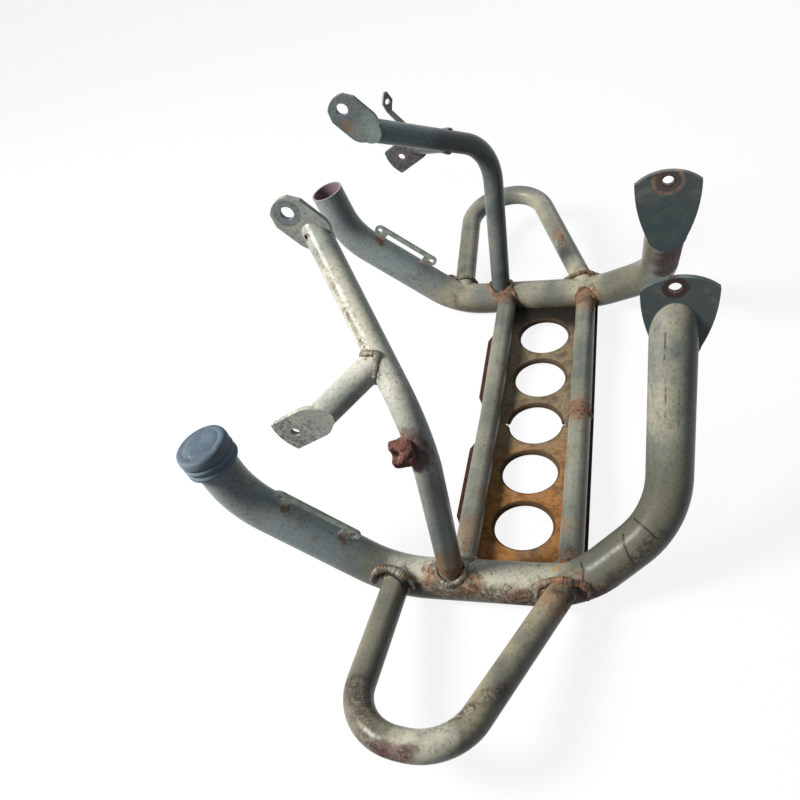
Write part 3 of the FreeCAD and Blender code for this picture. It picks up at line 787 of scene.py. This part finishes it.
def bead(points, closed, size, lumps, verts, faces):
    """Sweep a lumpy circle along points; each point carries the way that the bead faces."""
    around = bead_around
    count = len(points)
    first = len(verts)
    run = 0.0
    for step, (place, facing) in enumerate(points):
        ahead = points[(step + 1) % count][0] if closed or step + 1 < count else place
        behind = points[step - 1][0] if closed or step else place
        tangent = (ahead - behind).normalized()
        run += (place - behind).length
        wave = ripple * math.sin(run * 2 * math.pi / ripple_length)
        swell = 1 + wave + lumps * noise.noise(place * 160) + lumps * 0.6 * noise.noise(place * 420)
        if not closed:
            swell *= min(1.0, 0.35 + 3 * min(step, count - 1 - step) / count)
        across = tangent.cross(facing).normalized()
        lift = facing * (size * 0.15)
        for turn in range(around):
            angle = 2 * math.pi * turn / around
            offset = facing * math.cos(angle) * 0.85 + across * math.sin(angle) * 1.2
            verts.append(place + lift + offset * size * swell)
    for step in range(count if closed else count - 1):
        here = first + step * around
        there = first + (step + 1) % count * around
        for turn in range(around):
            after = (turn + 1) % around
            faces.append((here + turn, there + turn, there + after, here + after))
    if not closed:
        faces.append(tuple(first + turn for turn in range(around)))
        faces.append(tuple(first + (count - 1) * around + turn for turn in reversed(range(around))))


def add_piece(name, verts, faces, finish, stands_for):
    mesh = bpy.data.meshes.new(name)
    mesh.from_pydata(verts, [], faces)
    mesh.shade_smooth()
    mesh.materials.append(finish.material)
    piece = bpy.data.objects.new(name, mesh)
    bpy.context.collection.objects.link(piece)
    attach(piece, "root")
    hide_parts(stands_for)


def both_sides(points):
    """The same seam on the left and, mirrored, on the right."""
    return [points, [(mirrored(place), mirrored(facing)) for place, facing in points]]


print("a ripple every", ripple_length * 1000, "mm")

# %% Weld metal
weld = Finish("weld_metal")
clots = weld.noise(150, 4, 0.65)
grains = weld.noise(620, 3, 0.6)
colour = weld.mix(weld.fade(clots, 0.36, 0.56), srgb(66, 56, 47), srgb(122, 119, 108))
brown_joints = [
    (mm(43, -200, 32), 30), (mm(43, 200, 32), 22), (mm(-42.5, 168, 27), 24), (mm(42.5, 168, 27), 26),
    (mm(43, 0, 24), 18), (mm(-51, 185, 34), 22), (mm(42.5, -168, 27), 16),
]
brown = weld.fade(weld.noise(70, 3), 0.54, 0.68) * 0.7
for centre, reach in brown_joints:
    brown = brown | weld.spot(centre, reach / 1000, (clots - 0.5) * 0.03) * 0.85
colour = weld.mix(brown, colour, rusty(weld))
colour = weld.mix(weld.fade(grains, 0.56, 0.70) * 0.6, colour, pit_brown)
bump = weld.node("ShaderNodeBump", None, {"Strength": 0.5, "Distance": 0.0008, "Height": clots + grains * 0.5})
weld.set(Base_Color=colour, Roughness=0.55 + brown * 0.3, Metallic=(1 - brown) * 0.3, Normal=bump)

# %% Seams of the joints
weld_steps = 180
seam_steps = 120
stay_bead_offset = 0.0022
cross_bead_floor = 0.0175
loop_run_top = 0.026
seam_start, seam_sweep = -52, 284

stay_ring = tube_radius["stay"] + stay_bead_offset
stay_seam = seam_points(main_tree, stay_foot, stay_corner - stay_foot, stay_ring, weld_steps)
branch_way = branch_shoulder - branch_foot
branch_seam = seam_points(stay_tree, branch_foot, branch_way, tube_radius["branch"], weld_steps)
loop_ends = [(loop_foot_upper, loop_corner_upper), (loop_foot_lower, loop_corner_lower)]
loop_seams = [
    seam_points(main_tree, foot, corner - foot, tube_radius["loop"], weld_steps) for foot, corner in loop_ends
]


def open_run(points, keep):
    """The run of a closed seam whose height passes the test, as one open row."""
    kept = [keep(place.z) for place, _ in points]
    start = next(k for k in range(len(points)) if kept[k] and not kept[k - 1])
    turned = points[start:] + points[:start]
    return turned[:sum(kept)]


cross_seams = []
for end, middle_point in zip(cross_ends, cross_middles):
    whole = seam_points(main_tree, end, middle_point - end, tube_radius["cross"], weld_steps)
    cross_seams.append(open_run(whole, lambda height: height > cross_bead_floor))

lower_runs = [open_run(seam, lambda height: height < loop_run_top) for seam in loop_seams]

seam_ring = []
for step in range(seam_steps):
    angle = math.radians(seam_start + seam_sweep * step / (seam_steps - 1))
    outward = Vector((math.cos(angle), 0, math.sin(angle)))
    seam_ring.append((cross_middles[1] + outward * tube_radius["cross"], outward))
print("points on a cross tube's seam:", [len(seam) for seam in cross_seams])


# %% Collars and beads
bezier_steps = 100


def along(stops, steps):
    """A smooth row of seam points through a few measured stops, facing out of the main tube."""
    row = []
    for k in range(steps):
        at = k * (len(stops) - 1) / (steps - 1)
        n = min(int(at), len(stops) - 2)
        before, start, end, after = (stops[min(max(n + d, 0), len(stops) - 1)] for d in (-1, 0, 1, 2))
        handles = start + (end - before) / 6, end - (after - start) / 6
        curve = geometry.interpolate_bezier(start, *handles, end, bezier_steps + 1)
        place = curve[round((at - n) * bezier_steps)]
        _, normal, _, _ = main_tree.find_nearest(place)
        row.append((place, normal))
    return row


collars = [
    along([mm(-114.5, -201.3, 33), mm(-109.7, -198, 40.4), mm(-104.1, -194.3, 41.2), mm(-96.8, -194, 41),
           mm(-90.1, -196.5, 39.8), mm(-85.2, -198.4, 36.7), mm(-81.5, -198.9, 31.8),
           mm(-79.3, -200.6, 24)], seam_steps),
    along([mm(17.6, -200.6, 23), mm(20.8, -195.7, 30.2), mm(26.8, -193.4, 34.9), mm(33.9, -193.2, 37.8),
           mm(41.5, -194.6, 38.4), mm(48.7, -194.3, 36.8), mm(55, -194, 33.6), mm(58.5, -195.9, 29.1),
           mm(56.3, -197.6, 20)], seam_steps),
]
jobs = [
    ("stay_beads", "stay_welds", [(stay_seam, True, 0.0026, 0.34)]),
    ("branch_beads", "branch_welds", [(branch_seam, True, 0.0021, 0.38)]),
    ("loop_beads", "loop_welds", [(run, False, 0.0022, 0.40) for run in lower_runs]
     + [(row, False, 0.0026, 0.45) for row in collars]),
    ("cross_beads", "cross_welds", [(seam, False, 0.0020, 0.42) for seam in cross_seams]),
]
for name, stands_for, seams in jobs:
    verts, faces = [], []
    for points, closed, size, lumps in seams:
        for row in both_sides(points):
            bead(row, closed, size, lumps, verts, faces)
    add_piece(name, verts, faces, weld, stands_for)
    print(name, len(faces), "faces")
verts, faces = [], []
bead(seam_ring, False, 0.0016, 0.40, verts, faces)
add_piece("seam_bead", verts, faces, weld, "seam_weld")
print("seam_bead", len(faces), "faces")

# %% [markdown]
# ## Turned pieces
# The cap and the boss are round, so one outline spun about an axis makes each of them.
# The rubber cap is moulded: two soft ribs round its side, a rolled edge, and a low dome on its
# face. The boss was a neat threaded bush once. Years of rust have made it swell and flake, so
# its outline is pushed in and out by noise after it is spun, and rust has eaten a hole in its side.
# The hole is a dent in the outline, painted near black as painted shadow, and the bush's bore is
# painted near black as painted shade.

# %% Spin an outline
def spun(origin, axis, outline, steps, lump=0.0, grain=1.0):
    """Vertices and faces of an outline, given as (radius, height) in millimetres, spun about axis."""
    axis = axis.normalized()
    side = axis.orthogonal().normalized()
    other = axis.cross(side)
    rows = []
    for (r0, h0), (r1, h1) in zip(outline, outline[1:]):
        pieces = max(1, round(math.hypot(r1 - r0, h1 - h0) / grain))
        rows += [(r0 + (r1 - r0) * k / pieces, h0 + (h1 - h0) * k / pieces) for k in range(pieces)]
    rows.append(outline[-1])
    verts = []
    for radius, height in rows:
        for step in range(steps):
            angle = 2 * math.pi * step / steps
            outward = side * math.cos(angle) + other * math.sin(angle)
            place = origin + (outward * radius + axis * height) / 1000
            if lump and radius:
                swell = noise.turbulence(place * 130, 3, True) - 0.8
                place += (outward * 0.8 + axis * 0.3) * (swell * lump / 1000)
            verts.append(place)
    faces = []
    for row in range(len(rows) - 1):
        for step in range(steps):
            after = (step + 1) % steps
            here, there = row * steps, (row + 1) * steps
            faces.append((here + step, here + after, there + after, there + step))
    return verts, faces


# %% Rubber cap
cap_outline = [
    (0.01, 0), (17.1, 0), (17.1, -17), (20.3, -17), (21.3, -16.2), (21.5, -14.6), (21.2, -13.1), (20.4, -12.4),
    (20.2, -11.4), (20.4, -10.5), (21.2, -9.9), (21.5, -8.4), (21.3, -7.0), (20.5, -6.4), (20.4, -5.5),
    (20.6, -4.7), (21.3, -4.1), (21.5, -1.5), (21.3, 1.4), (20.6, 3.0), (19.2, 3.9), (17.6, 4.1), (16.4, 3.8),
    (15.7, 3.5), (14.9, 3.8), (13.6, 4.5), (11.0, 5.1), (7.5, 5.4), (3.5, 5.5), (0.01, 5.5),
]
rubber = Finish("cap_rubber")
clouds = rubber.noise(60, 4, 0.6)
specks = rubber.noise(420, 3, 0.6)
upward = rubber.node("ShaderNodeSeparateXYZ", None,
                     {0: rubber.node("ShaderNodeNewGeometry", output="Normal")}, "Z")
dust = rubber.fade(upward + (clouds - 0.5) * 0.6, 0.95, 0.35)
colour = rubber.mix(rubber.fade(clouds, 0.35, 0.65), srgb(66, 79, 94), srgb(82, 96, 108))
colour = rubber.mix(dust * 0.6, colour, srgb(126, 140, 150))
colour = rubber.mix(rubber.fade(specks, 0.60, 0.70) * 0.4, colour, srgb(150, 150, 146))
bump = rubber.node("ShaderNodeBump", None, {"Strength": 0.3, "Distance": 0.0005, "Height": clouds + specks * 0.6})
rubber.set(Base_Color=colour, Roughness=0.72, Normal=bump, Specular_IOR_Level=0.3)
verts, faces = spun(upper_end, upper_end - upper_bend, cap_outline, 96)
add_piece("rubber_cap", verts, faces, rubber, "end_cap_left")
print("cap:", len(faces), "faces")

# %% Boss and stump
boss_height = 0.188
boss_turn = math.radians(17)
rust_hole = mm(-58.2, -206.2, 194.2)
rust_hole_reach = 0.0060

boss_share = (boss_height - stay_foot.z) / (stay_corner.z - stay_foot.z)
boss_root = stay_foot.lerp(stay_corner, boss_share)
boss_way = Vector((-math.cos(boss_turn), -math.sin(boss_turn), 0))
boss_outline = [
    (0.01, 6), (8.0, 6), (10.4, 7), (10.9, 10), (10.2, 14), (10.6, 18), (9.9, 21), (8.2, 22.2), (5.4, 21.4),
    (4.3, 20), (4.0, 16), (3.6, 12), (0.01, 11),
]
stump_outline = [(0.01, 6), (5.0, 6), (5.9, 8), (5.6, 12), (4.4, 14.4), (2.4, 13.6), (0.01, 14.2)]

flaking = Finish("rusted_steel")
clouds = flaking.noise(120, 4, 0.65)
flakes = flaking.noise(460, 4, 0.65)
colour = flaking.mix(flaking.fade(clouds, 0.36, 0.62), srgb(82, 56, 54), srgb(122, 84, 78))
colour = flaking.mix(flaking.fade(flakes, 0.54, 0.66) * 0.7, colour, srgb(160, 114, 96))
colour = flaking.mix(flaking.fade(flakes, 0.44, 0.32) * 0.8, colour, srgb(44, 26, 24))
# painted shade: the bush's bore is painted near black
throat_shade = flaking.line(boss_root + boss_way * 0.010, boss_root + boss_way * 0.0215, 0.0052)
colour = flaking.mix(throat_shade, colour, srgb(26, 16, 15))
# painted shadow: the dent of the rust hole is painted near black
hole_shadow = flaking.spot(rust_hole, 0.0062, (flakes - 0.5) * 0.004)
colour = flaking.mix(hole_shadow, colour, srgb(20, 15, 15))
bump = flaking.node("ShaderNodeBump", None, {"Strength": 0.8, "Distance": 0.0012, "Height": clouds + flakes})
flaking.set(Base_Color=colour, Roughness=0.85, Normal=bump, Specular_IOR_Level=0.2)

verts, faces = spun(boss_root, boss_way, boss_outline, 84, 2.6, 0.7)
heart = boss_root + boss_way * 0.014
for place in verts:
    depth = max(0.0, 1 - (place - rust_hole).length / rust_hole_reach)
    place += (heart - place) * min(0.55, depth)
add_piece("rusted_boss", verts, faces, flaking, "boss_left")
print("boss:", len(faces), "faces")
verts, faces = spun(mirrored(boss_root), mirrored(boss_way), stump_outline, 48, 1.6, 0.7)
add_piece("broken_stump", verts, faces, flaking, "boss_stub_right")
print("stump:", len(faces), "faces")
